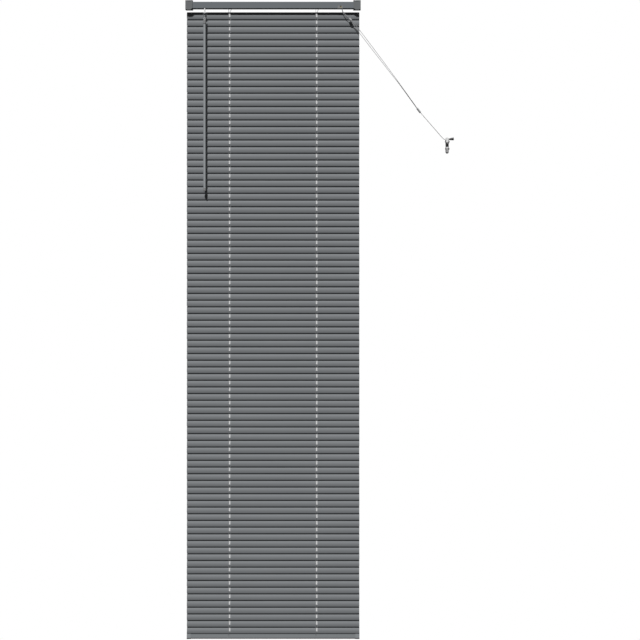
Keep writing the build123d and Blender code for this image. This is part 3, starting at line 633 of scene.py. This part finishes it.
def shop_finishes():
    """The finishes that the frame's own parts wear."""
    paint = colours()
    stop = lighter(paint.grey, STOP_LIGHTER)
    cap = lighter(paint.bottom, CAP_LIGHTER)
    return {
        "rail": finish("rail_lacquer", paint.rail, 0.45, tone=0.05, bump=0.03, specular=0.2),
        "bracket": finish("bracket_lacquer", paint.bracket, 0.5, tone=0.08, bump=0.05, tone_scale=40.0,
                          specular=0.2),
        "bottom": finish("bottom_lacquer", paint.bottom, 0.45, tone=0.05, bump=0.03, specular=0.2),
        "steel": finish("bare_steel", paint.steel, 0.35, metallic=0.7, tone=0.08, bump=0.05, tone_scale=60.0),
        "brass": finish("brass", paint.brass, 0.35, metallic=0.6, tone=0.1, bump=0.05, tone_scale=80.0),
        "grey": finish("grey_plastic", paint.grey, 0.5, tone=0.05, bump=0.08, tone_scale=50.0),
        "stop": finish("stop_plastic", stop, 0.22, tone=0.05, bump=0.05, tone_scale=90.0, coat=0.5,
                       specular=0.5),
        "cap": finish("cap_plastic", cap, 0.5, tone=0.05, bump=0.08, tone_scale=50.0),
        "wand": finish("wand_plastic", paint.wand, 0.3, tone=0.06, bump=0.02, tone_scale=20.0, coat=0.3),
        "white": finish("white_plastic", paint.white, 0.35, tone=0.03, bump=0.03, tone_scale=40.0),
        "dark": finish("dark_plastic", paint.dark, 0.45, tone=0.08, bump=0.05, tone_scale=80.0),
        "braid": braid("lift_cord", paint.lift),
    }


class BLIND_OT_finishes(bpy.types.Operator):
    """Gives every part of the frame its lacquer, metal or plastic"""
    bl_idname = "blind.finishes"
    bl_label = "Finishes"

    def execute(self, context):
        looks = shop_finishes()
        wear = dict(SINGLE)
        for name, look in PAIRED.items():
            for side in SIDES:
                wear[name + "_" + side] = look
        for name, look in wear.items():
            mesh = frame["nodes"][name].data
            mesh.materials.clear()
            mesh.materials.append(looks[look])
        return {"FINISHED"}


def add_sun(name, strength, side, rise):
    """A sun that shines from the left of the viewer by an angle and down by another."""
    sun = bpy.data.lights.new(name, "SUN")
    sun.energy = strength
    sun.angle = SUN_SPREAD
    lamp = bpy.data.objects.new(name, sun)
    bpy.context.scene.collection.objects.link(lamp)
    aim = Vector((sin(side), cos(side), 0)) * cos(rise) - Vector((0, 0, sin(rise)))
    lamp.rotation_euler = aim.to_track_quat("-Z", "Y").to_euler()


def add_surroundings(scene, strength):
    """White surroundings that light the blind little and that the camera sees as white."""
    world = bpy.data.worlds.new("studio")
    scene.world = world
    world.use_nodes = True
    nodes, links = world.node_tree.nodes, world.node_tree.links
    fill = nodes["Background"]
    fill.inputs["Color"].default_value = (1, 1, 1, 1)
    fill.inputs["Strength"].default_value = strength
    seen = nodes.new("ShaderNodeBackground")
    seen.inputs["Color"].default_value = (1, 1, 1, 1)
    seen.inputs["Strength"].default_value = 1.0
    path = nodes.new("ShaderNodeLightPath")
    either = nodes.new("ShaderNodeMath")
    either.operation = "MAXIMUM"
    links.new(path.outputs["Is Camera Ray"], either.inputs[0])
    links.new(path.outputs["Is Transmission Ray"], either.inputs[1])
    mix = nodes.new("ShaderNodeMixShader")
    links.new(either.outputs["Value"], mix.inputs["Fac"])
    links.new(fill.outputs["Background"], mix.inputs[1])
    links.new(seen.outputs["Background"], mix.inputs[2])
    links.new(mix.outputs["Shader"], nodes["World Output"].inputs["Surface"])


def add_camera(scene):
    """A camera in front of the blind, level with the middle of the view."""
    size = sizes()
    data = bpy.data.cameras.new("camera")
    data.lens = data.sensor_width * size.camera_distance / size.view_width
    data.clip_end = CAMERA_REACH
    camera = bpy.data.objects.new("camera", data)
    camera.location = (size.view_side, size.view_front - size.camera_distance, size.view_height)
    camera.rotation_euler = (pi / 2, 0, 0)
    scene.collection.objects.link(camera)
    scene.camera = camera


class BLIND_OT_stage(bpy.types.Operator):
    """Sets the white surroundings, the lamps and the camera"""
    bl_idname = "blind.stage"
    bl_label = "Stage"

    def execute(self, context):
        size = sizes()
        context.scene.view_settings.view_transform = "Standard"
        add_surroundings(context.scene, size.fill)
        add_sun("key", size.key, size.key_side, size.key_rise)
        add_sun("back", size.back, pi + size.key_side, size.back_rise)
        add_camera(context.scene)
        return {"FINISHED"}


class BLIND_PT_panel(bpy.types.Panel):
    """Lists the blind's sizes, its colours and its operators"""
    bl_idname = "BLIND_PT_panel"
    bl_label = "Venetian blind"
    bl_space_type = "VIEW_3D"
    bl_region_type = "UI"
    bl_category = "Blind"

    def draw(self, context):
        for group in (context.scene.blind_sizes, context.scene.blind_colours):
            for name in type(group).__annotations__:
                self.layout.prop(group, name)
        for step in STEPS:
            self.layout.operator(step.bl_idname)


STEPS = (BLIND_OT_slats, BLIND_OT_ladders, BLIND_OT_lift_cords, BLIND_OT_pull_cords, BLIND_OT_finishes,
         BLIND_OT_stage)
CLASSES = (BlindSizes, BlindColours) + STEPS + (BLIND_PT_panel,)


def register():
    for item in CLASSES:
        bpy.utils.register_class(item)
    bpy.types.Scene.blind_sizes = PointerProperty(type=BlindSizes)
    bpy.types.Scene.blind_colours = PointerProperty(type=BlindColours)


def unregister():
    del bpy.types.Scene.blind_colours
    del bpy.types.Scene.blind_sizes
    for item in reversed(CLASSES):
        bpy.utils.unregister_class(item)


def main():
    register()
    bpy.ops.blind.slats()
    bpy.ops.blind.ladders()
    bpy.ops.blind.lift_cords()
    bpy.ops.blind.pull_cords()
    bpy.ops.blind.finishes()
    bpy.ops.blind.stage()
    bpy.context.view_layer.update()


if __name__ == "__main__":
    main()
